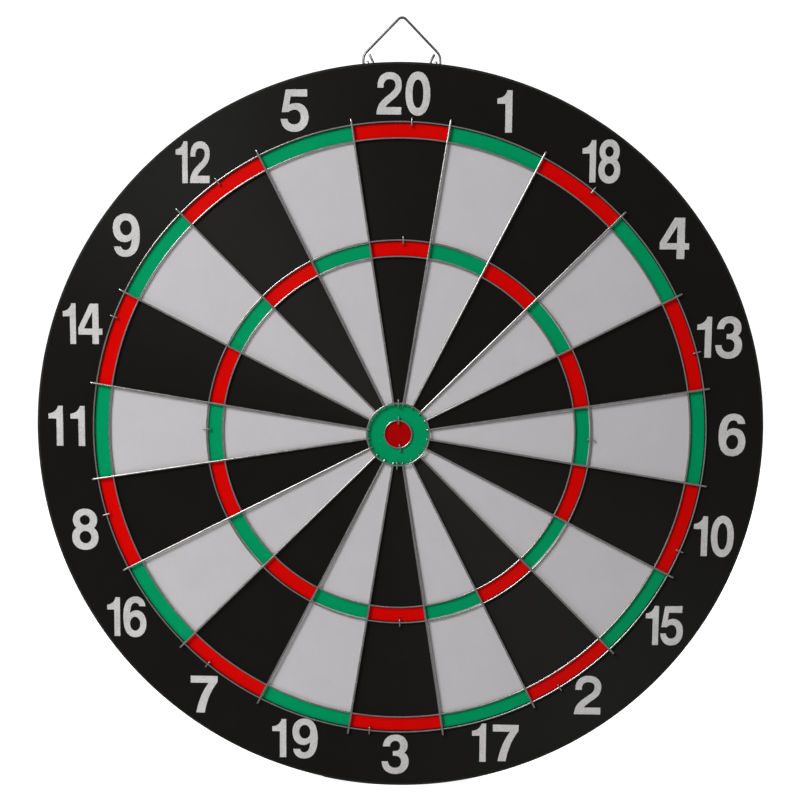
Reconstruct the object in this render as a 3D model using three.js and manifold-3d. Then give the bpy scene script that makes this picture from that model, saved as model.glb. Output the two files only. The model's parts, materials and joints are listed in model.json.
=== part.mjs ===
// Dartboard: a wound-paper board with a stapled wire spider and a swinging wire hanger.
// Millimetres. The origin is on the back face, on the axis of the bull. The front faces -Y, and +Z is up.
import * as THREE from "three";
import { mergeVertices } from "three/addons/utils/BufferGeometryUtils.js";
import Module from "manifold-3d";

// ---- Driving dimensions ----

// Board
const BOARD_RADIUS = 203;
const BOARD_THICKNESS = 20;
const BAND_THICKNESS = 1.2;
const BAND_CHAMFER = 0.4;
const SHEET_THICKNESS = 0.6;
const JOINT_GAP = 0.1; // left between pieces that lie on each other
const BOARD_SEGMENTS = 96;

// Spider wires: centreline radii from the bull
const RING_WIRE = 0.9;
const RADIAL_WIRE = 1.2;
const DOUBLE_OUTER = 170.9;
const DOUBLE_INNER = 162.1;
const TREBLE_OUTER = 107.2;
const TREBLE_INNER = 98.3;
const OUTER_BULL = 17.5;
const BULLSEYE = 7.7;
const BEDS = 20;
const RADIAL_START = 15.8;
const RADIAL_END = 174.3;
const LARGE_RING_HEIGHT = 1.05; // wire centres in front of the face
const RADIAL_HEIGHT = 1.7;
const WELD_CLEARANCE = 0.2; // left round a radial wire where it sinks into a ring at its weld
const WELD_NOTCH_LENGTH = 4;
const LARGE_RING_SEGMENTS = 72;
const SMALL_RING_SEGMENTS = 40;

// Spider staples: angles are in degrees, clockwise from the top as a player sees the board
const STAPLE_SPAN = 5;
const STAPLE_WIDTH = 0.8;
const STAPLE_STOCK = 0.7;
const STAPLE_DEPTH = 10;
const STAPLE_POINT = 1;
const LEG_CLEARANCE = 0.3;
const DOUBLE_STAPLES = [2, 38, 74, 112, 147, 185, 219, 254, 292, 324];
const TREBLE_STAPLES = [1, 91, 179, 271];
const OUTER_BULL_STAPLES = [0, 181.5];
const BULLSEYE_STAPLES = [1.5, 171.5];

// Hanger staples: their crowns bridge the bail's wire at the middle of the rim
const HANGER_STAPLE_SPAN = 5.2;
const HANGER_STAPLE_WIDTH = 1.8;
const HANGER_STAPLE_STOCK = 1;
const HANGER_STAPLE_DEPTH = 14;
const HANGER_CROWN_HEIGHT = 3.2; // top of the crown above the rim

// Bail: a triangle of wire whose ends turn up as hooks
const BAIL_WIRE = 1.4;
const BAIL_HEIGHT = 26.7; // top of the wire above the rim
const BAIL_SLOPE = 45.3; // degrees from level
const BAIL_LEG_X = 21.2;
const BAIL_RETURN_X = 16;
const BAIL_TIP_X = 18;
const BAIL_TIP_HEIGHT = 6.1;
const BAIL_RETURN_BEND_HEIGHT = 2.35;
const BAIL_AXIS_HEIGHT = 1.22; // centre of the hooks' wire above the rim
const APEX_BEND = 3;
const ELBOW_BEND = 6;
const HOOK_BEND = 1.8;
const RETURN_BEND = 2;
const BAIL_STEP = 1;

// ---- Values worked out from them ----

const FRONT_Y = -BOARD_THICKNESS;
const MIDDLE_Y = -BOARD_THICKNESS / 2;
const SHEET_RADIUS = BOARD_RADIUS - BAND_THICKNESS - JOINT_GAP;

// Heights of wire centres in front of the face: the bullseye's ring lies on the face, and
// the outer bull ring lies on the radials' inner ends, which come down to the face.
const BULLSEYE_HEIGHT = JOINT_GAP + RING_WIRE / 2;
const RADIAL_END_HEIGHT = JOINT_GAP + RADIAL_WIRE / 2;
const OUTER_BULL_HEIGHT = 2.5 * JOINT_GAP + RADIAL_WIRE + RING_WIRE / 2;
const RADIAL_BEND = (RADIAL_START + RADIAL_END) / 2;

const HANGER_X = (BAIL_LEG_X + BAIL_RETURN_X) / 2;
const HANGER_ANGLE = THREE.MathUtils.radToDeg(Math.asin(HANGER_X / BOARD_RADIUS));
const HANGER_RIM_Z = Math.sqrt(BOARD_RADIUS ** 2 - HANGER_X ** 2);

// ---- Materials ----

const material = (color, roughness, metalness) =>
  new THREE.MeshStandardMaterial({ color, roughness, metalness });
const woundPaper = material("#8c7a62", 0.95, 0);
const blackBand = material("#121212", 0.8, 0);
const flockedFace = material("#1e1c1a", 0.95, 0);
const backPaper = material("#393735", 0.95, 0);
const spiderSteel = material("#b4b1af", 0.25, 1);
const stapleSteel = material("#b4b2b0", 0.27, 1);
const bailSteel = material("#aeaeae", 0.2, 1);

// ---- Shared geometry ----

const wasm = await Module();
wasm.setup();

function toSolid(geometry) {
  const bare = geometry.clone();
  bare.deleteAttribute("normal");
  bare.deleteAttribute("uv");
  const merged = mergeVertices(bare);
  return new wasm.Manifold(
    new wasm.Mesh({
      numProp: 3,
      vertProperties: merged.attributes.position.array,
      triVerts: new Uint32Array(merged.index.array),
    }),
  );
}

function toGeometry(solid) {
  const { vertProperties, triVerts } = solid.getMesh();
  const geometry = new THREE.BufferGeometry();
  geometry.setAttribute("position", new THREE.BufferAttribute(vertProperties, 3));
  geometry.setIndex(new THREE.BufferAttribute(triVerts, 1));
  return geometry;
}

function cutHoles(geometry, holes) {
  const cut = holes.reduce((solid, hole) => solid.subtract(toSolid(hole)), toSolid(geometry));
  return toGeometry(cut);
}

function addPiece(parent, name, geometry, finish) {
  const mesh = new THREE.Mesh(geometry, finish);
  mesh.name = name;
  parent.add(mesh);
  return mesh;
}

// A disc between two distances behind the front, square to the board's axis.
function disc(radius, yLow, yHigh) {
  const geometry = new THREE.CylinderGeometry(radius, radius, yHigh - yLow, BOARD_SEGMENTS);
  return geometry.translate(0, (yLow + yHigh) / 2, 0);
}

// Eight-sided round wire along a curve.
function wireAlong(curve, diameter, steps) {
  const section = new THREE.Shape().absarc(0, 0, diameter / 2, 0, 2 * Math.PI);
  return new THREE.ExtrudeGeometry(section, {
    extrudePath: curve,
    steps,
    curveSegments: 4,
    bevelEnabled: false,
  });
}

function ringWire(radius, height, segments) {
  const geometry = new THREE.TorusGeometry(radius, RING_WIRE / 2, 8, segments);
  return geometry.rotateX(Math.PI / 2).translate(0, FRONT_Y - height, 0);
}

// ---- Staples ----

// A staple seen from its side, with its crown's top at height 0 and its legs running down.
function stapleOutline(span, stock, length) {
  const outer = span / 2;
  const inner = outer - stock;
  const outline = new THREE.Shape();
  outline.moveTo(-outer, STAPLE_POINT - length);
  outline.lineTo(-inner, -length);
  outline.lineTo(-inner, -stock);
  outline.lineTo(inner, -stock);
  outline.lineTo(inner, -length);
  outline.lineTo(outer, STAPLE_POINT - length);
  outline.absarc(outer - stock, -stock, stock, 0, Math.PI / 2);
  outline.absarc(stock - outer, -stock, stock, Math.PI / 2, Math.PI);
  return outline;
}

// A staple's crown runs along `along`, its legs point against `up`, and `place` sets it in the board.
function stapleGeometry({ span, stock, width, length, along, up, place }) {
  const across = along.clone().cross(up);
  const outline = stapleOutline(span, stock, length);
  return new THREE.ExtrudeGeometry(outline, { depth: width, curveSegments: 3, bevelEnabled: false })
    .translate(0, 0, -width / 2)
    .applyMatrix4(new THREE.Matrix4().makeBasis(along, up, across))
    .applyMatrix4(place);
}

// The two holes that a staple's legs are driven into, a little wider than the legs.
function legHoles({ span, stock, width, length, along, up, place }) {
  const across = along.clone().cross(up);
  const basis = new THREE.Matrix4().makeBasis(along, up, across);
  return [-1, 1].map((side) =>
    new THREE.BoxGeometry(stock + 2 * LEG_CLEARANCE, length, width + 2 * LEG_CLEARANCE)
      .translate((side * (span - stock)) / 2, -length / 2 - LEG_CLEARANCE, 0)
      .applyMatrix4(basis)
      .applyMatrix4(place),
  );
}

// Where a point at an angle clockwise from the top lies, for a piece made at the top of the board.
function turned(angle, y, radius) {
  const turn = new THREE.Matrix4().makeRotationY(THREE.MathUtils.degToRad(angle));
  return turn.multiply(new THREE.Matrix4().makeTranslation(0, y, radius));
}

// A spider staple crosses its ring wire from the inside to the outside, with its legs in the face.
function spiderStaple(angle, ringRadius, ringHeight) {
  const crownTop = ringHeight + RING_WIRE / 2 + JOINT_GAP + STAPLE_STOCK;
  return {
    span: STAPLE_SPAN,
    stock: STAPLE_STOCK,
    width: STAPLE_WIDTH,
    length: crownTop + STAPLE_DEPTH,
    along: new THREE.Vector3(0, 0, 1),
    up: new THREE.Vector3(0, -1, 0),
    place: turned(angle, FRONT_Y - crownTop, ringRadius),
  };
}

// A hanger staple bridges the bail's wire from front to back, with its legs in the rim.
function hangerStaple(angle) {
  return {
    span: HANGER_STAPLE_SPAN,
    stock: HANGER_STAPLE_STOCK,
    width: HANGER_STAPLE_WIDTH,
    length: HANGER_CROWN_HEIGHT + HANGER_STAPLE_DEPTH,
    along: new THREE.Vector3(0, 1, 0),
    up: new THREE.Vector3(0, 0, 1),
    place: turned(angle, MIDDLE_Y, BOARD_RADIUS + HANGER_CROWN_HEIGHT),
  };
}

const numbered = (name, index) => `${name}_${String(index + 1).padStart(2, "0")}`;

function stapleSet(name, angles, ringRadius, ringHeight) {
  return angles.map((angle, index) => ({
    name: numbered(name, index),
    ...spiderStaple(angle, ringRadius, ringHeight),
  }));
}

const spiderStaples = [
  ...stapleSet("double_ring_staple", DOUBLE_STAPLES, DOUBLE_OUTER, LARGE_RING_HEIGHT),
  ...stapleSet("treble_ring_staple", TREBLE_STAPLES, TREBLE_OUTER, LARGE_RING_HEIGHT),
  ...stapleSet("outer_bull_staple", OUTER_BULL_STAPLES, OUTER_BULL, OUTER_BULL_HEIGHT),
  ...stapleSet("bullseye_staple", BULLSEYE_STAPLES, BULLSEYE, BULLSEYE_HEIGHT),
];

const hangerStaples = [
  { name: "hanger_staple_left", ...hangerStaple(-HANGER_ANGLE) },
  { name: "hanger_staple_right", ...hangerStaple(HANGER_ANGLE) },
];

// ---- Board ----

// The band's section, from its inner back edge round the outside, chamfered at both outer edges.
function rimBand() {
  const inner = BOARD_RADIUS - BAND_THICKNESS;
  const corner = BOARD_RADIUS - BAND_CHAMFER;
  const section = [
    [inner, FRONT_Y],
    [corner, FRONT_Y],
    [BOARD_RADIUS, FRONT_Y + BAND_CHAMFER],
    [BOARD_RADIUS, -BAND_CHAMFER],
    [corner, 0],
    [inner, 0],
    [inner, FRONT_Y],
  ].map(([radius, y]) => new THREE.Vector2(radius, y));
  return new THREE.LatheGeometry(section, BOARD_SEGMENTS);
}

function board() {
  const group = new THREE.Group();
  const faceHoles = spiderStaples.flatMap(legHoles);
  const rimHoles = hangerStaples.flatMap(legHoles);
  const sheetBack = FRONT_Y + SHEET_THICKNESS;
  const core = disc(SHEET_RADIUS, sheetBack + JOINT_GAP, -SHEET_THICKNESS - JOINT_GAP);
  addPiece(group, "board_core", cutHoles(core, [...faceHoles, ...rimHoles]), woundPaper);
  addPiece(group, "rim_band", cutHoles(rimBand(), rimHoles), blackBand);
  const frontSheet = disc(SHEET_RADIUS, FRONT_Y, sheetBack);
  addPiece(group, "front_face_sheet", cutHoles(frontSheet, faceHoles), flockedFace);
  addPiece(group, "back_face_sheet", disc(SHEET_RADIUS, -SHEET_THICKNESS, 0), backPaper);
  return group;
}

// ---- Spider ----

// A radial wire at the top of the board: level over the big rings, then down to the face at the bull.
function radialWire() {
  const inner = new THREE.Vector3(0, FRONT_Y - RADIAL_END_HEIGHT, RADIAL_START);
  const bend = new THREE.Vector3(0, FRONT_Y - RADIAL_HEIGHT, RADIAL_BEND);
  const outer = new THREE.Vector3(0, FRONT_Y - RADIAL_HEIGHT, RADIAL_END);
  const path = new THREE.CurvePath();
  path.add(new THREE.LineCurve3(inner, bend));
  path.add(new THREE.LineCurve3(bend, outer));
  return wireAlong(path, RADIAL_WIRE, 2);
}

const radialTurn = (bed) => ((bed + 0.5) * 2 * Math.PI) / BEDS;

// The notches that the radial wires fill in a large ring, one at each weld.
function weldNotches(ringRadius) {
  const radius = RADIAL_WIRE / 2 + WELD_CLEARANCE;
  return Array.from({ length: BEDS }, (_, bed) =>
    new THREE.CylinderGeometry(radius, radius, WELD_NOTCH_LENGTH, 6)
      .rotateX(Math.PI / 2)
      .translate(0, FRONT_Y - RADIAL_HEIGHT, ringRadius)
      .rotateY(radialTurn(bed)),
  );
}

function largeRing(radius) {
  const ring = ringWire(radius, LARGE_RING_HEIGHT, LARGE_RING_SEGMENTS);
  return cutHoles(ring, weldNotches(radius));
}

function spider() {
  const group = new THREE.Group();
  const largeRings = {
    double_ring_outer_wire: DOUBLE_OUTER,
    double_ring_inner_wire: DOUBLE_INNER,
    treble_ring_outer_wire: TREBLE_OUTER,
    treble_ring_inner_wire: TREBLE_INNER,
  };
  for (const [name, radius] of Object.entries(largeRings)) {
    addPiece(group, name, largeRing(radius), spiderSteel);
  }
  const outerBull = ringWire(OUTER_BULL, OUTER_BULL_HEIGHT, SMALL_RING_SEGMENTS);
  addPiece(group, "outer_bull_ring_wire", outerBull, spiderSteel);
  const bullseye = ringWire(BULLSEYE, BULLSEYE_HEIGHT, SMALL_RING_SEGMENTS);
  addPiece(group, "bullseye_ring_wire", bullseye, spiderSteel);
  for (let bed = 0; bed < BEDS; bed++) {
    const wire = addPiece(group, numbered("radial_wire", bed), radialWire(), spiderSteel);
    wire.rotation.y = radialTurn(bed);
  }
  for (const staple of spiderStaples) {
    addPiece(group, staple.name, stapleGeometry(staple), stapleSteel);
  }
  return group;
}

// ---- Hanger ----

// Straight runs between corners, with an arc of the corner's own radius at each bend.
function bentPath(corners) {
  const points = corners.map(([x, z]) => new THREE.Vector2(x, z));
  const path = new THREE.Path();
  path.moveTo(points[0].x, points[0].y);
  for (let i = 1; i < points.length - 1; i++) {
    const corner = points[i];
    const radius = corners[i][2];
    const before = points[i - 1].clone().sub(corner).normalize();
    const after = points[i + 1].clone().sub(corner).normalize();
    const half = Math.acos(before.dot(after)) / 2;
    const start = before.clone().multiplyScalar(radius / Math.tan(half));
    const end = after.clone().multiplyScalar(radius / Math.tan(half));
    const centre = before.clone().add(after).setLength(radius / Math.sin(half));
    const from = start.sub(centre).angle();
    const to = end.sub(centre).angle();
    const clockwise = before.cross(after) > 0;
    centre.add(corner);
    path.absarc(centre.x, centre.y, radius, from, to, clockwise);
  }
  path.lineTo(points.at(-1).x, points.at(-1).y);
  return path;
}

// A flat path in the middle plane of the board, as a curve in space.
class MiddlePlaneCurve extends THREE.Curve {
  constructor(path) {
    super();
    this.path = path;
  }
  getPoint(t, target = new THREE.Vector3()) {
    const point = this.path.getPoint(t);
    return target.set(point.x, MIDDLE_Y, point.y);
  }
}

// The right half of the bail from its elbow to its tip, as x, z and bend radius.
function bailHalf(apexZ) {
  const axisZ = HANGER_RIM_Z + BAIL_AXIS_HEIGHT;
  const elbowZ = apexZ - BAIL_LEG_X * Math.tan(THREE.MathUtils.degToRad(BAIL_SLOPE));
  return [
    [BAIL_LEG_X, elbowZ, ELBOW_BEND],
    [BAIL_LEG_X, axisZ, HOOK_BEND],
    [BAIL_RETURN_X, axisZ, HOOK_BEND],
    [BAIL_RETURN_X, axisZ + BAIL_RETURN_BEND_HEIGHT, RETURN_BEND],
    [BAIL_TIP_X, axisZ + BAIL_TIP_HEIGHT, 0],
  ];
}

function bail() {
  const group = new THREE.Group();
  const slope = THREE.MathUtils.degToRad(BAIL_SLOPE);
  const apexZ = BOARD_RADIUS + BAIL_HEIGHT - BAIL_WIRE / 2 + APEX_BEND * (1 / Math.cos(slope) - 1);
  const right = bailHalf(apexZ);
  const left = right.map(([x, z, radius]) => [-x, z, radius]).reverse();
  const path = bentPath([...left, [0, apexZ, APEX_BEND], ...right]);
  const steps = Math.round(path.getLength() / BAIL_STEP);
  const wire = wireAlong(new MiddlePlaneCurve(path), BAIL_WIRE, steps);
  addPiece(group, "hanging_bail", wire, bailSteel);
  return group;
}

function hangerFixings() {
  const group = new THREE.Group();
  for (const staple of hangerStaples) {
    addPiece(group, staple.name, stapleGeometry(staple), stapleSteel);
  }
  return group;
}

const dartboard = new THREE.Group();
dartboard.add(board(), spider(), hangerFixings(), bail());

export default dartboard;
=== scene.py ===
"""The look of a wound-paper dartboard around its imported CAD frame.

Metres. The origin is on the back face at the bull's axis, the face looks along -Y, and +Z is up.
Angles round the face are in degrees clockwise from the top, as a player sees the board.
"""

import json
import math
import random

import bmesh
import bpy
from mathutils import Matrix, Vector
from mathutils.geometry import delaunay_2d_cdt, interpolate_bezier

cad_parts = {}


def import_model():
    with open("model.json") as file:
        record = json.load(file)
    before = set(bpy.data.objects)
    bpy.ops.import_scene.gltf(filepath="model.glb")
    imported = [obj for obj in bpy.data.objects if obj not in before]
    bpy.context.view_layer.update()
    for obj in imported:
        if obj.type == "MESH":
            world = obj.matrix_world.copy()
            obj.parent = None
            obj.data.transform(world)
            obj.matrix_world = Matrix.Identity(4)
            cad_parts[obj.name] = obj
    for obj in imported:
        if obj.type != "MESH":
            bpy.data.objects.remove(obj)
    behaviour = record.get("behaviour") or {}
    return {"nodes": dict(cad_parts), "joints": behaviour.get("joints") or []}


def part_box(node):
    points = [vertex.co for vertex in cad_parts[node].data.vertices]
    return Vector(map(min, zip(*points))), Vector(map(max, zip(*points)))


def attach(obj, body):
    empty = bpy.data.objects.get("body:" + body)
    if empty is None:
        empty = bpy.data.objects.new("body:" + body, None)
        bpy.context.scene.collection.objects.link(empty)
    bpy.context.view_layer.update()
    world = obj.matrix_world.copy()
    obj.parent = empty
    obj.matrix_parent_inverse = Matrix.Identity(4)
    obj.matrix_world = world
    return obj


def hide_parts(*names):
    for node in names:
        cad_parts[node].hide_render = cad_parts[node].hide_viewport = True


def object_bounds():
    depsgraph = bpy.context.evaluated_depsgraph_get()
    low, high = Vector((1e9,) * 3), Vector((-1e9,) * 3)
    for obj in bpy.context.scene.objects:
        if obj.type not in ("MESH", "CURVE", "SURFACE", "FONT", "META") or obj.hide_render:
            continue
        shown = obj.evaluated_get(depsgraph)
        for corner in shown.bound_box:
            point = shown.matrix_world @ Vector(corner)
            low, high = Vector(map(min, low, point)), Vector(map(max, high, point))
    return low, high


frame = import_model()
cad_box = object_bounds()

MM = 0.001
NEAR = 0.01 * MM  # points closer than this to a level are taken to be on it
rng = random.Random(20)

# ---- Camera: the photograph's place and lens ----

SENSOR = 36  # millimetres, as is LENS
LENS = 48.24
EYE_RIGHT = 0.012
EYE_UP = 0.053
EYE_DISTANCE = 0.597  # in front of the face
YAW, PITCH, ROLL = (math.radians(angle) for angle in (-1.05, -5.06, 0.53))
SHIFT_UP = 0.0425  # of the picture's width

# ---- Printed face ----

BEDS = 20
NUMBERS = [20, 1, 18, 4, 13, 6, 10, 15, 2, 17, 3, 19, 7, 16, 8, 11, 14, 9, 12, 5]
PRINT_UNDER_WIRE = 0.65 * MM  # how far a double or treble band's edge lies inside its wire
SHEET_BEVEL = 0.15 * MM
BOARD_STEPS = 360
BULL_STEPS = 120
MERGE_LENGTH = 0.0001 * MM  # below this, points of the print are one point
DARK_BED = {"bed": "black", "ring": "red"}
PALE_BED = {"bed": "pale", "ring": "green"}
NUMBER_RADIUS = 186 * MM  # from the bull to a number's nominal place
NUMBER_SCALE = 0.972 * MM  # metres for each millimetre of a figure's outline
OUTLINE_STEP = 0.45  # millimetres, as is OUTLINE_JITTER
OUTLINE_JITTER = 0.045
OUTLINE_GAP = 0.01  # an outline's last point is dropped when it is this close to the first
CURVE_POINTS = 10

# Each number's printed place, in millimetres to the right of and above its nominal centre.
NUMBER_OFFSETS = {
    20: (1.2, 0), 1: (-1.1, -0.1), 18: (0.1, 0), 4: (0, 0), 13: (0, -1.9),
    6: (-0.3, 1.6), 10: (0.6, 1.9), 15: (1.0, 2.3), 2: (0, 2.4), 17: (-0.3, 0),
    3: (0, 1.5), 19: (-0.2, 0.8), 7: (-0.5, -0.4), 16: (-3.4, 3.1), 8: (0, 1.5),
    11: (-0.3, 2.7), 14: (0.5, 2.4), 9: (-0.8, -0.5), 12: (-4.8, -1.9), 5: (-0.6, -0.2),
}

# Two-figure numbers: width of each figure as a share of its full width, and the gap in millimetres.
NUMBER_FIT = {
    20: (0.90, 0.90, 2.2), 18: (0.90, 0.79, 1.5), 13: (0.98, 0.94, 2.3), 10: (0.95, 0.85, 2.0),
    15: (0.90, 0.83, 1.2), 17: (0.98, 0.95, 4.0), 19: (0.98, 0.97, 3.7), 16: (0.90, 0.88, 1.9),
    14: (0.88, 0.84, 1.4), 12: (0.80, 0.72, 1.3), 11: (0.99, 0.99, 4.4),
}

# Figures about 24 mm tall: M, L and C steps in millimetres from the figure's middle.
FIGURES = {
    "0": [
        "M 0 12.1 C 4.6 12.1 7.7 7.4 7.7 0 C 7.7 -7.4 4.6 -12.1 0 -12.1"
        " C -4.6 -12.1 -7.7 -7.4 -7.7 0 C -7.7 7.4 -4.6 12.1 0 12.1",
        "M 0 7.8 C 2.1 7.8 3.4 4.8 3.4 0 C 3.4 -4.8 2.1 -7.8 0 -7.8"
        " C -2.1 -7.8 -3.4 -4.8 -3.4 0 C -3.4 4.8 -2.1 7.8 0 7.8",
    ],
    "1": [
        "M 0.4 -11.6 L 4.2 -11.6 L 4.2 11.6 L 1.4 11.6 C 0.9 9.1 -1.3 7.3 -4.2 7.1"
        " L -4.2 4.2 L 0.4 4.2",
    ],
    "2": [
        "M -7.3 3.2 L -7.3 4.2 C -7.3 8.9 -4.4 11.7 0.3 11.7 C 4.9 11.7 7.7 9.0 7.7 5.0"
        " C 7.7 2.4 6.9 0.5 5.0 -1.2 C 2.5 -3.4 -0.6 -5.0 -2.2 -7.4 L 7.5 -7.4 L 7.5 -11.5"
        " L -7.9 -11.5 C -7.8 -7.9 -6.3 -5.4 -4.0 -3.4 C -2.0 -1.6 0.3 -0.3 1.9 1.1"
        " C 3.2 2.3 3.9 3.5 3.9 5.0 C 3.9 6.8 2.5 7.9 0.2 7.9 C -2.2 7.9 -3.6 6.4 -3.6 4.0"
        " L -3.6 3.2",
    ],
    "3": [
        "M -7.4 4.7 C -7.2 9.2 -4.0 11.9 0.2 11.9 C 4.4 11.9 7.2 9.2 7.2 5.3"
        " C 7.2 3.2 6.4 1.9 5.2 1.0 C 6.9 0.1 7.9 -2.0 7.9 -4.6 C 7.9 -9.0 4.6 -12.1 -0.1 -12.1"
        " C -4.9 -12.1 -8.0 -9.3 -8.1 -4.4 L -4.4 -4.4 C -4.2 -6.8 -2.8 -8.3 -0.2 -8.3"
        " C 2.0 -8.3 3.4 -6.8 3.4 -4.6 C 3.4 -2.2 1.9 -0.9 -0.4 -0.9 L -1.5 -0.9 L -1.5 1.9"
        " L -0.5 1.9 C 1.7 1.9 2.8 3.1 2.8 5.1 C 2.8 6.9 1.7 8.1 0.0 8.1"
        " C -1.9 8.1 -3.1 6.9 -3.3 4.7",
    ],
    "4": [
        "M -0.1 11.5 L 5.7 11.5 L 5.8 -2.7 L 8.3 -2.7 L 8.3 -6.2 L 5.8 -6.2 L 5.8 -11.5"
        " L 1.4 -11.5 L 1.4 -6.2 L -8.2 -6.2 L -8.2 -2.3",
        "M 1.5 6.9 L -4.4 -2.7 L 1.5 -2.7",
    ],
    "5": [
        "M 7.1 11.7 L -5.0 11.5 L -7.2 -0.9 L -3.4 -0.9 C -2.6 -0.1 -1.4 0.5 0.0 0.5"
        " C 2.1 0.5 3.5 -1.0 3.5 -3.6 C 3.5 -6.1 2.2 -7.6 -0.2 -7.6 C -2.3 -7.6 -3.6 -6.6 -4.0 -4.6"
        " L -7.8 -4.6 C -7.5 -9.0 -4.7 -11.7 -0.2 -11.7 C 4.8 -11.7 7.9 -8.3 7.9 -3.4"
        " C 7.9 1.1 5.0 4.1 1.0 4.1 C -0.7 4.1 -1.9 3.7 -2.9 3.0 L -2.2 7.7 L 7.1 7.7",
    ],
    "6": [
        "M 7.2 6.4 C 6.8 10.0 4.4 12.2 0.7 12.2 C -4.9 12.2 -7.7 7.7 -7.7 -0.2"
        " C -7.7 -7.7 -5.2 -12.2 0.1 -12.2 C 4.6 -12.2 7.7 -8.9 7.7 -4.2 C 7.7 0.6 5.2 3.9 1.1 3.9"
        " C -0.7 3.9 -2.1 3.2 -3.1 2.1 C -3.0 6.4 -1.6 8.4 0.5 8.4 C 1.9 8.4 2.8 7.7 3.1 6.4",
        "M 0.2 0.1 C 2.1 0.1 3.6 -1.7 3.6 -4.1 C 3.6 -6.5 2.1 -8.3 0.2 -8.3"
        " C -1.7 -8.3 -3.2 -6.5 -3.2 -4.1 C -3.2 -1.7 -1.7 0.1 0.2 0.1",
    ],
    "7": [
        "M -7.9 11.1 L 8.0 11.1 L 8.0 7.4 C 4.6 3.4 1.4 -3.6 0.3 -11.1 L -4.7 -11.1"
        " C -3.6 -4.6 -0.9 2.2 2.7 6.9 L -7.9 6.9",
    ],
    "8": [
        "M 5.1 0.8 C 6.4 1.9 7.05 3.5 7.05 5.3 C 7.05 9.3 4.2 12.1 0 12.1"
        " C -4.2 12.1 -7.1 9.3 -7.1 5.3 C -7.1 3.5 -6.4 1.9 -5.1 0.8"
        " C -6.8 -0.3 -7.7 -2.4 -7.7 -4.8 C -7.7 -9.2 -4.6 -12.2 0 -12.2"
        " C 4.6 -12.2 7.7 -9.2 7.7 -4.8 C 7.7 -2.4 6.8 -0.3 5.1 0.8",
        "M -0.1 8.3 C 1.5 8.3 2.85 7.0 2.85 5.4 C 2.85 3.8 1.5 2.5 -0.1 2.5"
        " C -1.7 2.5 -3.05 3.8 -3.05 5.4 C -3.05 7.0 -1.7 8.3 -0.1 8.3",
        "M 0.1 -1.0 C 2.0 -1.0 3.55 -2.6 3.55 -4.65 C 3.55 -6.7 2.0 -8.3 0.1 -8.3"
        " C -1.8 -8.3 -3.35 -6.7 -3.35 -4.65 C -3.35 -2.6 -1.8 -1.0 0.1 -1.0",
    ],
}

# ---- Wires ----

WIRE_SIDES = 14
RING_STEPS = 360
BULL_RING_STEPS = 120
BULL_RING_MOST = 30 * MM  # a ring smaller than this is one of the bull's
RING_JOINT_SWELL = (1.03, 1.08, 1.03)  # over three steps, where a ring's two ends meet
WELD_SWELL = 0.16  # how much wider a radial wire is where it is welded to a ring
WELD_SINK = 0.09 * MM
WELD_LENGTH = 0.8 * MM
WELD_STATIONS = range(-3, 4)  # stations round a weld, half a weld length apart
RADIAL_STEP = 1.6 * MM
STAPLE_BEND = 0.8 * MM
STAPLE_SIDES = 12
STAPLE_BEND_STEPS = 6
STAPLE_POINT = 1.2 * MM  # length over which a leg tapers
STAPLE_POINT_SCALE = 0.35
BAIL_SIDES = 20
DOME_ANGLES = (8, 30, 55, 90)  # stations of a rounded end, from its tip
RADIAL_END_ROUNDING = 0.5  # length of the rounded end in wire radii
BAIL_END_ROUNDING = 0.6


def outward(angle):
    """The direction in the face away from the bull at an angle clockwise from the top."""
    turn = math.radians(angle)
    return Vector((math.sin(turn), 0, math.cos(turn)))


def clockwise(angle):
    """The direction in the face along a ring, clockwise, at an angle from the top."""
    turn = math.radians(angle)
    return Vector((math.cos(turn), 0, -math.sin(turn)))


def node_points(name):
    return [vertex.co.copy() for vertex in frame["nodes"][name].data.vertices]


def extent(name, direction):
    """The least and greatest distance of a CAD node along a direction from the origin."""
    distances = [point.dot(direction) for point in node_points(name)]
    return min(distances), max(distances)


def away_from_bull(name):
    """The direction in the face from the bull to the middle of a CAD node."""
    low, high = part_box(name)
    return outward(math.degrees(math.atan2(low.x + high.x, low.z + high.z)))


# ---- Materials ----

NOISE_ROUGHNESS = 0.6

FLOCK_ROUGHNESS = 0.68
FLOCK_ANISOTROPY = 0.85
ACROSS_THE_TURNS = 0.25  # of a whole turn
PILE_SIZE = 0.55 * MM
PILE_BUMP_SIZE = 0.3 * MM
PILE_DEPTH = 0.06 * MM
DYE_PATCH_SIZE = 14 * MM
DYE_PATCH_SHARE = 0.35

TAPE_ROUGHNESS = 0.8
TAPE_ROUGHNESS_RANGE = (0.66, 0.9)
TAPE_SPECULAR = 0.2
TAPE_DARK = (0.008, 0.008, 0.008)
TAPE_LIGHT = (0.020, 0.020, 0.019)
TAPE_WORN = (0.045, 0.042, 0.038)
CREPE_SIZE = 1.1 * MM
CREPE_STRETCH = (1, 0.2, 1)
CREPE_DEPTH = 0.2 * MM
TAPE_PATCH_SIZE = 25 * MM
TAPE_PATCH_SHARE = 0.4
SCUFF_SIZE = 1.3 * MM
SCUFF_LEVELS = (0.52, 0.62)

PAPER_ROUGHNESS = 0.92
WAVE_FACTOR = 20  # by which the wave texture multiplies distances
FIBRE_SIZE = 0.8 * MM
FIBRE_SHARE = 0.55
PAPER_DEPTH = 0.08 * MM

STEEL_GRAIN_SIZE = 0.5 * MM
STEEL_GRAIN_DEPTH = 0.008 * MM
STEEL_STAIN_SIZE = 6 * MM
STEEL_STAIN_SHARE = 0.5
STEEL_ROUGHNESS_FACTORS = (0.7, 1.4)


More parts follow.
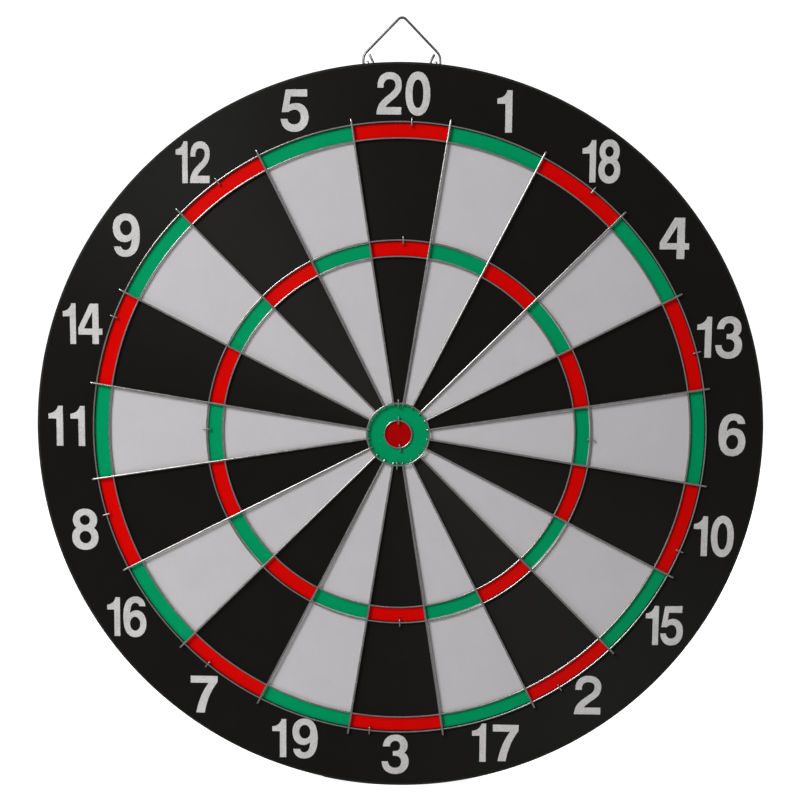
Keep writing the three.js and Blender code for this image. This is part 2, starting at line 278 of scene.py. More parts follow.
def start_material(name, roughness, metallic=0.0):
    """A material with a Principled shader, and noise coordinates in metres."""
    made = bpy.data.materials.new(name)
    made.use_nodes = True
    nodes = made.node_tree.nodes
    shader = nodes["Principled BSDF"]
    shader.inputs["Roughness"].default_value = roughness
    shader.inputs["Metallic"].default_value = metallic
    coordinates = nodes.new("ShaderNodeTexCoord")
    return made, shader, coordinates.outputs["Object"]


def noise(made, coordinates, size, detail=2.0, stretch=None):
    """Noise whose features are about this size in metres, or larger along a shrunk axis."""
    nodes, links = made.node_tree.nodes, made.node_tree.links
    texture = nodes.new("ShaderNodeTexNoise")
    texture.inputs["Scale"].default_value = 1 / size
    texture.inputs["Detail"].default_value = detail
    texture.inputs["Roughness"].default_value = NOISE_ROUGHNESS
    if stretch:
        mapping = nodes.new("ShaderNodeMapping")
        mapping.inputs["Scale"].default_value = stretch
        links.new(coordinates, mapping.inputs["Vector"])
        coordinates = mapping.outputs["Vector"]
    links.new(coordinates, texture.inputs["Vector"])
    return texture.outputs["Fac"]


def blend_values(made, first, second, share):
    """share of second and the rest of first, value by value."""
    mix = made.node_tree.nodes.new("ShaderNodeMix")
    mix.inputs["Factor"].default_value = share
    made.node_tree.links.new(first, mix.inputs["A"])
    made.node_tree.links.new(second, mix.inputs["B"])
    return mix.outputs["Result"]


def ramp(made, value, stops):
    """Colours along a value: stops are (place, colour)."""
    node = made.node_tree.nodes.new("ShaderNodeValToRGB")
    elements = node.color_ramp.elements
    while len(elements) < len(stops):
        elements.new(0.5)
    for element, (place, colour) in zip(elements, stops):
        element.position = place
        element.color = (*colour, 1)
    made.node_tree.links.new(value, node.inputs["Fac"])
    return node.outputs["Color"]


def spread(made, value, low, high):
    """A value from 0 to 1 mapped onto low to high."""
    node = made.node_tree.nodes.new("ShaderNodeMapRange")
    node.inputs["To Min"].default_value = low
    node.inputs["To Max"].default_value = high
    made.node_tree.links.new(value, node.inputs["Value"])
    return node.outputs["Result"]


def bump(made, shader, height, distance, strength=1.0):
    node = made.node_tree.nodes.new("ShaderNodeBump")
    node.inputs["Distance"].default_value = distance
    node.inputs["Strength"].default_value = strength
    made.node_tree.links.new(height, node.inputs["Height"])
    made.node_tree.links.new(node.outputs["Normal"], shader.inputs["Normal"])


def shade(colour, factor):
    return tuple(min(1.0, channel * factor) for channel in colour)


def flock(name, colour, variation, specular):
    """Dyed flock: a dull pile with a fine grain, a faint unevenness in the dye, and a faint
    sheen that runs across the turns of the paper wound under it."""
    made, shader, place = start_material(name, FLOCK_ROUGHNESS)
    shader.inputs["Specular IOR Level"].default_value = specular
    shader.inputs["Anisotropic"].default_value = FLOCK_ANISOTROPY
    shader.inputs["Anisotropic Rotation"].default_value = ACROSS_THE_TURNS
    turns = made.node_tree.nodes.new("ShaderNodeTangent")
    turns.direction_type = "RADIAL"
    turns.axis = "Y"
    made.node_tree.links.new(turns.outputs["Tangent"], shader.inputs["Tangent"])
    pile = noise(made, place, PILE_SIZE, 3)
    patches = noise(made, place, DYE_PATCH_SIZE, 2)
    tone = blend_values(made, pile, patches, DYE_PATCH_SHARE)
    dark, light = shade(colour, 1 - variation), shade(colour, 1 + variation)
    colours = ramp(made, tone, [(0.3, dark), (0.5, colour), (0.7, light)])
    made.node_tree.links.new(colours, shader.inputs["Base Color"])
    bump(made, shader, noise(made, place, PILE_BUMP_SIZE, 2), PILE_DEPTH, 0.6)
    return made


def black_tape(name):
    """The black paper tape round the rim, with a crepe grain and scuffs along its corners."""
    made, shader, place = start_material(name, TAPE_ROUGHNESS)
    shader.inputs["Specular IOR Level"].default_value = TAPE_SPECULAR
    nodes, links = made.node_tree.nodes, made.node_tree.links
    crepe = noise(made, place, CREPE_SIZE, 3, CREPE_STRETCH)
    patches = noise(made, place, TAPE_PATCH_SIZE, 3)
    tone = blend_values(made, crepe, patches, TAPE_PATCH_SHARE)
    cloth = ramp(made, tone, [(0.3, TAPE_DARK), (0.7, TAPE_LIGHT)])
    edge = nodes.new("ShaderNodeAttribute")
    edge.attribute_name = "edge"
    scuffs = noise(made, place, SCUFF_SIZE, 4)
    speckle = ramp(made, scuffs, list(zip(SCUFF_LEVELS, [(0, 0, 0), (1, 1, 1)])))
    worn = nodes.new("ShaderNodeMath")
    worn.operation = "MULTIPLY"
    links.new(edge.outputs["Fac"], worn.inputs[0])
    links.new(speckle, worn.inputs[1])
    mix = nodes.new("ShaderNodeMix")
    mix.data_type = "RGBA"
    mix.inputs["B"].default_value = (*TAPE_WORN, 1)
    links.new(worn.outputs["Value"], mix.inputs["Factor"])
    links.new(cloth, mix.inputs["A"])
    links.new(mix.outputs["Result"], shader.inputs["Base Color"])
    links.new(spread(made, tone, *TAPE_ROUGHNESS_RANGE), shader.inputs["Roughness"])
    bump(made, shader, crepe, CREPE_DEPTH, 0.8)
    return made


def wound_paper(name, dark, light, turn_width):
    """Paper tape wound into a disc: each turn is lighter or darker than the next, with fibres."""
    made, shader, place = start_material(name, PAPER_ROUGHNESS)
    turns = made.node_tree.nodes.new("ShaderNodeTexWave")
    turns.wave_type = "RINGS"
    turns.rings_direction = "Y"
    turns.inputs["Scale"].default_value = 1 / (WAVE_FACTOR * turn_width) * math.pi
    turns.inputs["Distortion"].default_value = 0.6
    turns.inputs["Detail"].default_value = 2
    made.node_tree.links.new(place, turns.inputs["Vector"])
    fibres = noise(made, place, FIBRE_SIZE, 4)
    tone = blend_values(made, turns.outputs["Fac"], fibres, FIBRE_SHARE)
    colours = ramp(made, tone, [(0.25, dark), (0.75, light)])
    made.node_tree.links.new(colours, shader.inputs["Base Color"])
    bump(made, shader, tone, PAPER_DEPTH, 0.6)
    return made


def steel(name, colour, roughness, mottle):
    """Drawn wire: bright metal with a fine uneven finish and faint stains."""
    made, shader, place = start_material(name, roughness, metallic=1.0)
    fine = noise(made, place, STEEL_GRAIN_SIZE, 3)
    stains = noise(made, place, STEEL_STAIN_SIZE, 3)
    tone = blend_values(made, fine, stains, STEEL_STAIN_SHARE)
    colours = ramp(made, tone, [(0.3, shade(colour, 1 - mottle)), (0.65, colour)])
    made.node_tree.links.new(colours, shader.inputs["Base Color"])
    least, most = STEEL_ROUGHNESS_FACTORS
    rough = spread(made, tone, roughness * least, roughness * most)
    made.node_tree.links.new(rough, shader.inputs["Roughness"])
    bump(made, shader, fine, STEEL_GRAIN_DEPTH, 0.5)
    return made


# Each region of the print: its colour, how far the dye varies, and its specular level.
FACE_COLOURS = {
    "border": ((0.0066, 0.0061, 0.0053), 0.20, 0.17),
    "black": ((0.0070, 0.0062, 0.0053), 0.20, 0.18),
    "pale": ((0.620, 0.600, 0.617), 0.045, 0.10),
    "red": ((0.750, 0.0015, 0.0005), 0.07, 0.05),
    "bullseye": ((0.460, 0.0012, 0.0012), 0.07, 0.03),
    "green": ((0.0004, 0.335, 0.128), 0.08, 0.03),
    "figures": ((0.636, 0.626, 0.614), 0.27, 0.10),
}
face_materials = {
    key: flock(f"flock_{key}", *look)
    for key, look in FACE_COLOURS.items()
}
FACE_ORDER = list(face_materials)
tape_material = black_tape("rim_tape")
CORE_TURN = 0.9 * MM
BACK_TURN = 2.4 * MM
core_material = wound_paper("wound_paper", (0.30, 0.24, 0.17), (0.52, 0.44, 0.33), CORE_TURN)
back_material = wound_paper("back_paper", (0.018, 0.017, 0.016), (0.062, 0.057, 0.052), BACK_TURN)
wire_steel = steel("spider_steel", (0.45, 0.435, 0.42), 0.25, 0.3)
staple_steel = steel("staple_steel", (0.45, 0.44, 0.43), 0.27, 0.25)
bail_steel = steel("bail_steel", (0.20, 0.20, 0.20), 0.30, 0.15)


# ---- Meshes ----


def add_piece(name, vertices, faces, materials, body, slot, replaced, smooth=True, owners=None):
    """A mesh piece that rides on a body and stands for one CAD node."""
    mesh = bpy.data.meshes.new(name)
    mesh.from_pydata([tuple(vertex) for vertex in vertices], [], faces)
    for material in materials:
        mesh.materials.append(material)
    if owners:
        mesh.polygons.foreach_set("material_index", owners)
    tidy = bmesh.new()
    tidy.from_mesh(mesh)
    bmesh.ops.recalc_face_normals(tidy, faces=tidy.faces)
    tidy.to_mesh(mesh)
    tidy.free()
    if smooth:
        mesh.shade_smooth()
    piece = bpy.data.objects.new(name, mesh)
    bpy.context.scene.collection.objects.link(piece)
    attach(piece, body)
    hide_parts(replaced)
    return piece


def sweep(points, up, half_width, half_height, sides, closed, scales):
    """A tube along points in a plane. half_width lies in the plane, and half_height along up."""
    vertices, faces = [], []
    count = len(points)
    for index, point in enumerate(points):
        before = points[index - 1] if closed or index else point
        after = points[(index + 1) % count] if closed or index < count - 1 else point
        along = (after - before).normalized()
        across = along.cross(up).normalized()
        lift = across.cross(along)
        for side in range(sides):
            turn = 2 * math.pi * side / sides
            offset = across * (math.cos(turn) * half_width) + lift * (math.sin(turn) * half_height)
            vertices.append(point + offset * scales[index])
    for index in range(count if closed else count - 1):
        start, following = index * sides, (index + 1) % count * sides
        for side in range(sides):
            beside = (side + 1) % sides
            faces.append((start + side, start + beside, following + beside, following + side))
    if not closed:
        faces.append(tuple(range(sides))[::-1])
        faces.append(tuple(range((count - 1) * sides, count * sides)))
    return vertices, faces


def rounded_ends(points, scales, radius):
    """Adds stations so that a tube closes in a dome at both ends, inside its own length."""
    def dome(tip, inner):
        inward = (inner - tip).normalized()
        stations = []
        for angle in DOME_ANGLES:
            turn = math.radians(angle)
            stations.append((tip + inward * radius * (1 - math.cos(turn)), math.sin(turn)))
        return stations

    first, last = dome(points[0], points[1]), dome(points[-1], points[-2])[::-1]
    made = first + list(zip(points, scales))[1:-1] + last
    return [point for point, _ in made], [scale for _, scale in made]


# ---- Printed face ----


def outline(steps):
    """Points round a closed outline, in millimetres."""
    tokens = steps.split()
    points, at = [], 0
    while at < len(tokens):
        size = 6 if tokens[at] == "C" else 2
        numbers = [float(token) for token in tokens[at + 1 : at + 1 + size]]
        pairs = [Vector((numbers[k], numbers[k + 1])) for k in range(0, size, 2)]
        if size == 6:
            points.extend(interpolate_bezier(points[-1], *pairs, CURVE_POINTS)[1:])
        else:
            points.extend(pairs)
        at += 1 + size
    if (points[0] - points[-1]).length < OUTLINE_GAP:
        points.pop()
    return [Vector((point.x, point.y)) for point in points]


def ragged(points):
    """The outline at short steps, each a little out of true, as the flock leaves it."""
    made = []
    for index, point in enumerate(points):
        after = points[(index + 1) % len(points)]
        pieces = max(1, round((after - point).length / OUTLINE_STEP))
        for k in range(pieces):
            offset = Vector((rng.uniform(-1, 1), rng.uniform(-1, 1))) * OUTLINE_JITTER
            made.append(point.lerp(after, k / pieces) + offset)
    return made


def figure(digit):
    """The outline of a figure, then its holes. A 9 is a 6 turned upside down."""
    if digit == "9":
        return [[-point for point in path] for path in figure("6")]
    return [outline(steps) for steps in FIGURES[digit]]


def number_outlines():
    """Every figure's outlines in metres on the face, as x and z, with whether each is a hole."""
    placed = []
    for bed, number in enumerate(NUMBERS):
        digits = str(number)
        *widths, gap = NUMBER_FIT.get(number, (1.0, 0))
        shapes = [figure(digit) for digit in digits]
        spans = []
        for paths, width in zip(shapes, widths):
            across = [point.x for point in paths[0]]
            spans.append((min(across), (max(across) - min(across)) * width))
        total = sum(span for _, span in spans) + gap * (len(digits) - 1)
        nominal = outward(bed * 360 / BEDS) * NUMBER_RADIUS
        right, above = NUMBER_OFFSETS[number]
        centre = Vector((nominal.x + right * MM, nominal.z + above * MM))
        left = -total / 2
        for paths, width, (start, span) in zip(shapes, widths, spans):
            for order, path in enumerate(paths):
                fitted = [Vector(((p.x - start) * width + left, p.y)) for p in path]
                edge = [centre + point * NUMBER_SCALE for point in ragged(fitted)]
                placed.append((edge, order > 0))
            left += span + gap
    return placed


def face_sheet():
    """The front sheet as one closed mesh, with its print as regions of different flock."""
    low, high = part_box("front_face_sheet")
    front, back, radius = low.y, high.y, high.x

    def ring_radius(name):
        ring_low, ring_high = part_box(name)
        return (ring_high.z - ring_low.z - (ring_high.y - ring_low.y)) / 2

    double_outer = ring_radius("double_ring_outer_wire") - PRINT_UNDER_WIRE
    double_inner = ring_radius("double_ring_inner_wire") + PRINT_UNDER_WIRE
    treble_outer = ring_radius("treble_ring_outer_wire") - PRINT_UNDER_WIRE
    treble_inner = ring_radius("treble_ring_inner_wire") + PRINT_UNDER_WIRE
    outer_bull = ring_radius("outer_bull_ring_wire")
    bullseye = ring_radius("bullseye_ring_wire")

    points, edges, faces = [], [], []

    def add_loop(loop):
        start = len(points)
        points.extend(loop)
        corners = list(range(start, start + len(loop)))
        turning = sum(a.cross(b) for a, b in zip(loop, loop[1:] + loop[:1]))
        faces.append(corners if turning > 0 else corners[::-1])
        return start

    flat_radius = radius - SHEET_BEVEL
    between = [(outer_bull + treble_inner) / 2, (treble_outer + double_inner) / 2]
    rings = [bullseye, outer_bull, between[0], treble_inner, treble_outer, between[1]]
    rings += [double_inner, double_outer, flat_radius]
    starts = []
    for ring in rings:
        steps = BULL_STEPS if ring <= outer_bull else BOARD_STEPS
        loop = []
        for step in range(steps):
            spot = outward(step * 360 / steps) * ring
            loop.append(Vector((spot.x, spot.z)))
        starts.append((add_loop(loop), steps))
    for bed in range(BEDS):
        angle = (bed + 0.5) * 360 / BEDS
        spokes = [start + round(angle * steps / 360) for start, steps in starts[1:-1]]
        edges.extend(zip(spokes, spokes[1:]))
    first_figure = len(faces)
    holes = []
    for edge, is_hole in number_outlines():
        add_loop(edge)
        holes.append(is_hole)
    out = delaunay_2d_cdt(points, edges, faces, 1, MERGE_LENGTH, True)
    flat, triangles, origins = out[0], out[2], out[5]

    limits = [(bullseye, "bullseye"), (outer_bull, "green"), (treble_inner, "bed")]
    limits += [(treble_outer, "ring"), (double_inner, "bed"), (double_outer, "ring")]

    def region(triangle, origin):
        figures = [k - first_figure for k in origin if k >= first_figure]
        if figures:
            return "border" if any(holes[k] for k in figures) else "figures"
        centre = sum((flat[k] for k in triangle), Vector((0, 0))) / 3
        away = centre.length
        angle = math.degrees(math.atan2(centre.x, centre.y)) % 360
        colours = DARK_BED if round(angle * BEDS / 360) % 2 == 0 else PALE_BED
        for limit, kind in limits:
            if away < limit:
                return colours.get(kind, kind)
        return "border"

    owners = [FACE_ORDER.index(region(t, o)) for t, o in zip(triangles, origins)]
    vertices = [Vector((point.x, front, point.y)) for point in flat]
    loop_start = len(vertices)
    # The rim of the sheet: the flat's own edge, a small bevel, and the back.
    nearest = {}
    for index, point in enumerate(flat):
        if point.length > flat_radius - NEAR:
            nearest[round(math.degrees(math.atan2(point.x, point.y)) % 360) % 360] = index
    edge_loop = [nearest[step] for step in range(BOARD_STEPS)]
    profile = [(radius, front + SHEET_BEVEL), (radius, back)]
    for ring, y in profile:
        for step in range(BOARD_STEPS):
            spot = outward(step * 360 / BOARD_STEPS) * ring
            vertices.append(Vector((spot.x, y, spot.z)))
    loops = [edge_loop]
    loops += [[loop_start + k * BOARD_STEPS + s for s in range(BOARD_STEPS)] for k in range(2)]
    polygons = [tuple(t) for t in triangles]
    for upper, lower in zip(loops, loops[1:]):
        for step in range(BOARD_STEPS):
            beside = (step + 1) % BOARD_STEPS
            polygons.append((upper[step], upper[beside], lower[beside], lower[step]))
    polygons.append(tuple(loops[-1]))
    owners += [FACE_ORDER.index("border")] * (len(polygons) - len(owners))
    return add_piece(
        "printed_face", vertices, polygons, list(face_materials.values()), "board",
        "flocked_face", "front_face_sheet", smooth=False, owners=owners,
    )


# ---- Rim band and back ----

BAND_STEPS = 720
BAND_CORNER = 0.55 * MM
BAND_LAP = 0.03 * MM  # how far the tape's inside lies under the edge of the sheets
CORNER_STEPS = 5
SHARP_ANGLE = math.radians(40)
SEAM_ANGLE = 192
SEAM_HEIGHT = 0.3 * MM
SEAM_FADE = 40  # degrees over which the lap's step dies away
WORN_AT_CORNER, WORN_AT_LIP, WORN_ON_SIDE = 1.0, 0.3, 0.0
SIDE_SHARES = (0.12, 0.3, 0.5, 0.7, 0.88)  # of the board's thickness, where the side has a vertex
BACK_RINGS = 84
BACK_STEPS = 180
BACK_RELIEF = 0.05 * MM  # the deepest that the sheet sinks in over every other turn
BACK_RELIEF_SHARES = (0.1, 1.0)


def rim_band():
    """The tape round the rim, with rounded corners and the step where its end laps over."""
    low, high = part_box("rim_band")
    radius, front, back = high.x, low.y, high.y
    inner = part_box("front_face_sheet")[1].x - BAND_LAP
    section = [(inner, front, WORN_AT_LIP)]
    for corner_y, start in ((front + BAND_CORNER, -90), (back - BAND_CORNER, 0)):
        for step in range(CORNER_STEPS + 1):
            turn = math.radians(start + 90 * step / CORNER_STEPS)
            away = radius - BAND_CORNER * (1 - math.cos(turn))
            section.append((away, corner_y + BAND_CORNER * math.sin(turn), WORN_AT_CORNER))
        if start < 0:
            for share in SIDE_SHARES:
                section.append((radius, front + (back - front) * share, WORN_ON_SIDE))
    section.append((inner, back, WORN_AT_LIP))
    vertices, wear, faces = [], [], []
    for step in range(BAND_STEPS):
        angle = step * 360 / BAND_STEPS
        past_seam = (angle - SEAM_ANGLE) % 360
        drop = SEAM_HEIGHT * max(0, 1 - past_seam / SEAM_FADE)
        for away, y, edge in section:
            drawn_in = drop if away > inner + NEAR else 0
            vertices.append(outward(angle) * (away - drawn_in) + Vector((0, y, 0)))
            wear.append(edge)
    size = len(section)
    for step in range(BAND_STEPS):
        start, following = step * size, (step + 1) % BAND_STEPS * size
        for k in range(size):
            beside = (k + 1) % size
            faces.append((start + k, start + beside, following + beside, following + k))
    piece = add_piece("rim_tape", vertices, faces, [tape_material], "board", "rim_band", "rim_band")
    attribute = piece.data.attributes.new("edge", "FLOAT", "POINT")
    attribute.data.foreach_set("value", wear)
    piece.data.set_sharp_from_angle(angle=SHARP_ANGLE)
    return piece


def back_sheet():
    """The back sheet, sunk in a little over every other turn of the winding under it."""
    low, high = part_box("back_face_sheet")
    radius, front, back = high.x, low.y, high.y
    vertices, faces = [Vector((0, back, 0))], []
    depths = [0.0] * (BACK_RINGS + 1)
    for ring in range(1, BACK_RINGS):
        depths[ring] = rng.uniform(*BACK_RELIEF_SHARES) * BACK_RELIEF * (ring % 2)
    for ring in range(1, BACK_RINGS + 1):
        away = (radius - SHEET_BEVEL) * ring / BACK_RINGS
        for step in range(BACK_STEPS):
            spot = outward(step * 360 / BACK_STEPS) * away
            vertices.append(spot + Vector((0, back - depths[ring], 0)))
    for away, y in ((radius, back - SHEET_BEVEL), (radius, front)):
        for step in range(BACK_STEPS):
            vertices.append(outward(step * 360 / BACK_STEPS) * away + Vector((0, y, 0)))
    for step in range(BACK_STEPS):
        faces.append((0, 1 + step, 1 + (step + 1) % BACK_STEPS))
    for ring in range(BACK_RINGS + 1):
        start, following = 1 + ring * BACK_STEPS, 1 + (ring + 1) * BACK_STEPS
        for step in range(BACK_STEPS):
            beside = (step + 1) % BACK_STEPS
            faces.append((start + step, start + beside, following + beside, following + step))
    last = 1 + (BACK_RINGS + 1) * BACK_STEPS
    faces.append(tuple(range(last, last + BACK_STEPS)))
    return add_piece(
        "back_paper", vertices, faces, [back_material], "board", "back_sheet", "back_face_sheet"
    )


# ---- Spider ----

RING_NODES = [
    "double_ring_outer_wire", "double_ring_inner_wire", "treble_ring_outer_wire",
    "treble_ring_inner_wire", "outer_bull_ring_wire", "bullseye_ring_wire",
]
RADIAL_NODES = [f"radial_wire_{bed + 1:02d}" for bed in range(BEDS)]
STAPLE_NODES = [name for name in frame["nodes"] if "_staple_0" in name or "_staple_1" in name]
TOWARDS_PLAYER = Vector((0, -1, 0))


def ring_size(name):
    """The centreline radius, wire radius and Y of a ring wire."""
    low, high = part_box(name)
    wire = (high.y - low.y) / 2
    return (high.z - low.z) / 2 - wire, wire, (low.y + high.y) / 2


def ring_wire(name):
    radius, wire, y = ring_size(name)
    steps = BULL_RING_STEPS if radius < BULL_RING_MOST else RING_STEPS
    points = [outward(k * 360 / steps) * radius + Vector((0, y, 0)) for k in range(steps)]
    joint = rng.randrange(steps)
    scales = [1.0] * steps
    for offset, swell in enumerate(RING_JOINT_SWELL, -1):
        scales[(joint + offset) % steps] = swell
    body = sweep(points, TOWARDS_PLAYER, wire, wire, WIRE_SIDES, True, scales)
    return add_piece(f"{name}_round", *body, [wire_steel], "board", "spider_wire", name)


def radial_wire(name, angle):
    """A wire that rises from the bull and then runs level, as its CAD node does, and that is
    pressed down a little on to each ring that it is welded to."""
    direction = outward(angle)
    start, end = extent(name, direction)
    left, right = extent(name, clockwise(angle))
    wire = (right - left) / 2
    sections = {}  # the points of each cross-section, which agree to a millimetre along the wire
    for point in node_points(name):
        sections.setdefault(round(point.dot(direction), 3), []).append(point)
    line = [sum(group, Vector()) / len(group) for _, group in sorted(sections.items())]
    corners = [line[0], line[len(line) // 2], line[-1]]
    (r0, y0), (r1, y1), (r2, y2) = [(spot.dot(direction), spot.y) for spot in corners]
    welds = [ring_size(ring)[0] for ring in RING_NODES[:4]]

    def height(away):
        if away < r1:
            return y0 + (y1 - y0) * (away - r0) / (r1 - r0)
        return y1 + (y2 - y1) * (away - r1) / (r2 - r1)

    count = round((end - start) / RADIAL_STEP)
    away_at = {start + (end - start) * k / count for k in range(count + 1)}
    for weld in welds:
        away_at.update(weld + WELD_LENGTH * k / 2 for k in WELD_STATIONS)
    away_at = sorted(a for a in away_at if start <= a <= end)
    closeness = [
        max(math.exp(-(((away - weld) / WELD_LENGTH) ** 2)) for weld in welds) for away in away_at
    ]
    points = [
        direction * away + Vector((0, height(away) + WELD_SINK * near, 0))
        for away, near in zip(away_at, closeness)
    ]
    scales = [1 + WELD_SWELL * near for near in closeness]
    points, scales = rounded_ends(points, scales, wire * RADIAL_END_ROUNDING)
    body = sweep(points, TOWARDS_PLAYER, wire, wire, WIRE_SIDES, False, scales)
    return add_piece(f"{name}_round", *body, [wire_steel], "board", "spider_wire", name)


def staple(name, along, up):
    """A bent staple: two legs, a crown, and a round bend at each shoulder."""
    across = along.cross(up)
    low_along, high_along = extent(name, along)
    bottom, top = extent(name, up)
    low_across, high_across = extent(name, across)
    middle_along, half_length = (low_along + high_along) / 2, (high_along - low_along) / 2
    centre = across * ((low_across + high_across) / 2) + along * middle_along
    half_width = (high_across - low_across) / 2
    crown = [p for p in node_points(name) if p.dot(up) > top - NEAR]
    inner = [abs(p.dot(along) - middle_along) for p in crown]
    half_height = (half_length - max(inner)) / 2
    reach = half_length - half_height
    crown_level = top - half_height
    shoulder = crown_level - STAPLE_BEND
    path = [(-reach, bottom), (-reach, bottom + STAPLE_POINT), (-reach, shoulder)]
    for step in range(1, STAPLE_BEND_STEPS + 1):
        turn = math.radians(180 - 90 * step / STAPLE_BEND_STEPS)
        inward, rise = STAPLE_BEND * (1 + math.cos(turn)), STAPLE_BEND * math.sin(turn)
        path.append((inward - reach, rise + shoulder))
    path += [(-x, level) for x, level in reversed(path)]
    points = [centre + along * x + up * level for x, level in path]
    scales = [STAPLE_POINT_SCALE] + [1.0] * (len(points) - 2) + [STAPLE_POINT_SCALE]
    body = sweep(points, across, half_height, half_width, STAPLE_SIDES, False, scales)
    return add_piece(f"{name}_bent", *body, [staple_steel], "board", "staple", name)


# ---- Hanger ----

BAIL_SLOPE = math.radians(45.3)
BAIL_RETURN_X = 16 * MM
BAIL_TIP_X = 18 * MM
BAIL_TIP_RISE = 6.1 * MM
BAIL_RETURN_RISE = 2.35 * MM
APEX_BEND = 3 * MM
ELBOW_BEND = 6 * MM
HOOK_BEND = 1.8 * MM
RETURN_BEND = 2 * MM
BEND_STEPS = 10


def bent_line(corners):
    """Straight runs between corners given as x, z and bend radius, with an arc at each bend."""
    spots = [Vector((x, z)) for x, z, _ in corners]
    line = [spots[0]]
    for before, corner, after, (_, _, radius) in zip(spots, spots[1:], spots[2:], corners[1:]):
        to_before, to_after = (before - corner).normalized(), (after - corner).normalized()
        half = to_before.angle(to_after) / 2
        centre = corner + (to_before + to_after).normalized() * (radius / math.sin(half))
        start = corner + to_before * (radius / math.tan(half)) - centre
        end = corner + to_after * (radius / math.tan(half)) - centre
        sweep_angle = start.angle_signed(end)
        for step in range(BEND_STEPS + 1):
            turn = Matrix.Rotation(-sweep_angle * step / BEND_STEPS, 2)
            line.append(centre + turn @ start)
    line.append(spots[-1])
    return line


def bail():
    """The hanger: one wire bent to a triangle, with its ends turned up as hooks."""
    low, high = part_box("hanging_bail")
    wire = (high.y - low.y) / 2
    y = (low.y + high.y) / 2
    leg = high.x - wire
    axis_z = frame["joints"][0]["pos_m"][2]
    apex_z = high.z - wire + APEX_BEND * (1 / math.cos(BAIL_SLOPE) - 1)
    right = [
        (leg, apex_z - leg * math.tan(BAIL_SLOPE), ELBOW_BEND),
        (leg, axis_z, HOOK_BEND),
        (BAIL_RETURN_X, axis_z, HOOK_BEND),
        (BAIL_RETURN_X, axis_z + BAIL_RETURN_RISE, RETURN_BEND),
        (BAIL_TIP_X, axis_z + BAIL_TIP_RISE, 0),
    ]
    left = [(-x, z, radius) for x, z, radius in reversed(right)]
    line = bent_line([*left, (0, apex_z, APEX_BEND), *right])
    points = [Vector((spot.x, y, spot.y)) for spot in line]
    points, scales = rounded_ends(points, [1.0] * len(points), wire * BAIL_END_ROUNDING)
    body = sweep(points, TOWARDS_PLAYER, wire, wire, BAIL_SIDES, False, scales)
    return add_piece("bail_wire", *body, [bail_steel], "bail", "bail", "hanging_bail")


# ---- Build the object ----

face_sheet()
rim_band()
back_sheet()
for ring_name in RING_NODES:
    ring_wire(ring_name)
for bed, radial_name in enumerate(RADIAL_NODES):
    radial_wire(radial_name, (bed + 0.5) * 360 / BEDS)
for staple_name in STAPLE_NODES:
    staple(staple_name, away_from_bull(staple_name), TOWARDS_PLAYER)
for staple_name in ("hanger_staple_left", "hanger_staple_right"):
    staple(staple_name, -TOWARDS_PLAYER, away_from_bull(staple_name))
bail()

core = frame["nodes"]["board_core"]
core.data.materials.clear()
core.data.materials.append(core_material)

# ---- Floor, light and camera ----

FLOOR_SIZE = 12
FLOOR_ROUGHNESS = 0.9
FLOOR_PATCH_SIZE = 0.4
FLOOR_TONES = (0.90, 0.94)
FLOOR_GLOW = 0.95
WORLD_LIGHT = 0.17
WORLD_GLOSS = 0.36
WORLD_SEEN = 1.2
# Lamps: places and sizes in metres, powers in watts.
KEY_PLACE = Vector((-0.83, -1.00, 0.83))
KEY_SIZE = 0.72
KEY_POWER = 17.6
FILL_PLACE = Vector((-0.60, -0.60, -0.70))
FILL_SIZE = 1.0
FILL_POWER = 10.6
BACK_PLACE = Vector((0.95, 1.05, 0.95))
BACK_SIZE = 0.9
BACK_POWER = 22
AIM = Vector((0, 0, 0))


def floor():
    """A pale floor, far enough out that its edge isn't seen."""
    low = cad_box[0].z
    made, shader, place = start_material("floor_paint", FLOOR_ROUGHNESS)
    tone = noise(made, place, FLOOR_PATCH_SIZE, 3)
    dark, light = FLOOR_TONES
    colours = ramp(made, tone, [(0.3, (dark, dark, dark)), (0.7, (light, light, light))])
    made.node_tree.links.new(colours, shader.inputs["Base Color"])
    shader.inputs["Emission Color"].default_value = (1, 1, 1, 1)
    shader.inputs["Emission Strength"].default_value = FLOOR_GLOW
    half = FLOOR_SIZE / 2
    mesh = bpy.data.meshes.new("floor")
    corners = [(-half, -half, low), (half, -half, low), (half, half, low), (-half, half, low)]
    mesh.from_pydata(corners, [], [(0, 1, 2, 3)])
    mesh.materials.append(made)
    ground = bpy.data.objects.new("floor", mesh)
    bpy.context.scene.collection.objects.link(ground)
    ground.visible_diffuse = False
    ground.visible_glossy = False


def area_light(name, place, target, size, power):
    data = bpy.data.lights.new(name, "AREA")
    data.shape = "DISK"
    data.size = size
    data.energy = power
    lamp = bpy.data.objects.new(name, data)
    lamp.location = place
    lamp.rotation_mode = "QUATERNION"
    lamp.rotation_quaternion = (target - place).to_track_quat("-Z", "Y")
    bpy.context.scene.collection.objects.link(lamp)
    return lamp


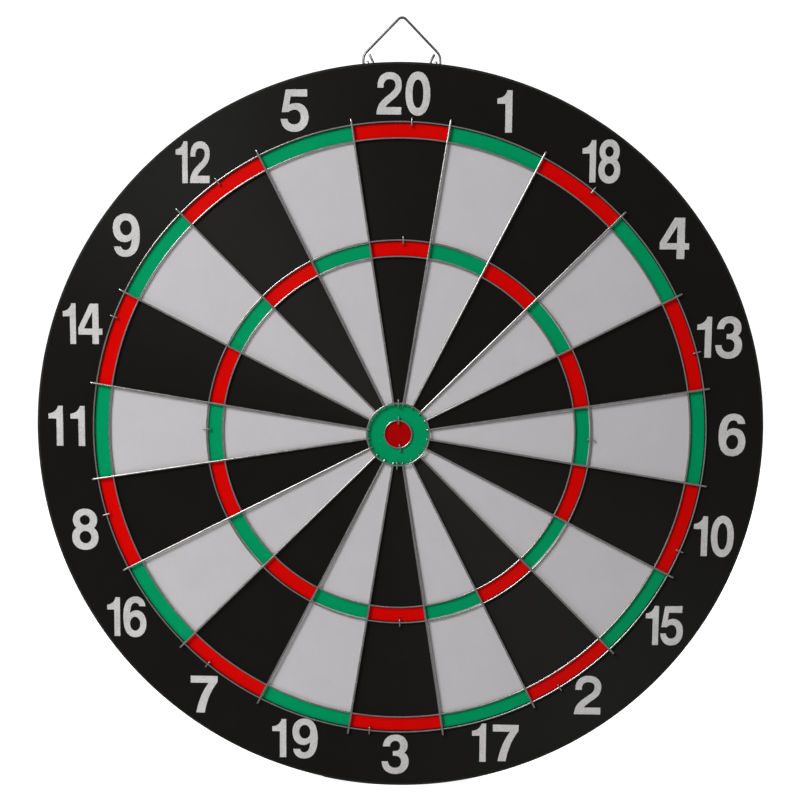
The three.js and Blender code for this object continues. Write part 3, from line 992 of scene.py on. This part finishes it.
def world():
    """An even studio: dim as a light, a little brighter in reflections, and white behind."""
    made = bpy.data.worlds.new("studio")
    bpy.context.scene.world = made
    made.use_nodes = True
    nodes, links = made.node_tree.nodes, made.node_tree.links
    background = nodes["Background"]
    background.inputs["Color"].default_value = (1, 1, 1, 1)
    background.inputs["Strength"].default_value = WORLD_LIGHT
    surroundings = background.outputs["Background"]
    path = nodes.new("ShaderNodeLightPath")
    for ray, strength in (("Is Glossy Ray", WORLD_GLOSS), ("Is Camera Ray", WORLD_SEEN)):
        other = nodes.new("ShaderNodeBackground")
        other.inputs["Color"].default_value = (1, 1, 1, 1)
        other.inputs["Strength"].default_value = strength
        mix = nodes.new("ShaderNodeMixShader")
        links.new(path.outputs[ray], mix.inputs["Fac"])
        links.new(surroundings, mix.inputs[1])
        links.new(other.outputs["Background"], mix.inputs[2])
        surroundings = mix.outputs["Shader"]
    links.new(surroundings, nodes["World Output"].inputs["Surface"])


def camera():
    """The photograph's camera, in front of the face and a little above the bull."""
    data = bpy.data.cameras.new("camera")
    data.sensor_width = SENSOR
    data.lens = LENS
    data.shift_y = SHIFT_UP
    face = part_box("front_face_sheet")[0].y
    seen_from = Vector((EYE_RIGHT, face - EYE_DISTANCE, EYE_UP))
    ahead = Vector((
        math.sin(YAW) * math.cos(PITCH), math.cos(YAW) * math.cos(PITCH), math.sin(PITCH)
    ))
    level = Vector((math.cos(YAW), -math.sin(YAW), 0))
    upright = level.cross(ahead).normalized()
    right = level * math.cos(ROLL) + upright * math.sin(ROLL)
    up = upright * math.cos(ROLL) - level * math.sin(ROLL)
    turn = Matrix((right, up, -ahead)).transposed()
    made = bpy.data.objects.new("camera", data)
    made.matrix_world = Matrix.Translation(seen_from) @ turn.to_4x4()
    bpy.context.scene.collection.objects.link(made)
    bpy.context.scene.camera = made


camera()
area_light("key", KEY_PLACE, AIM, KEY_SIZE, KEY_POWER)
area_light("fill", FILL_PLACE, AIM, FILL_SIZE, FILL_POWER).visible_glossy = False
area_light("back", BACK_PLACE, AIM, BACK_SIZE, BACK_POWER)
world()
floor()
bpy.context.scene.view_settings.view_transform = "Standard"
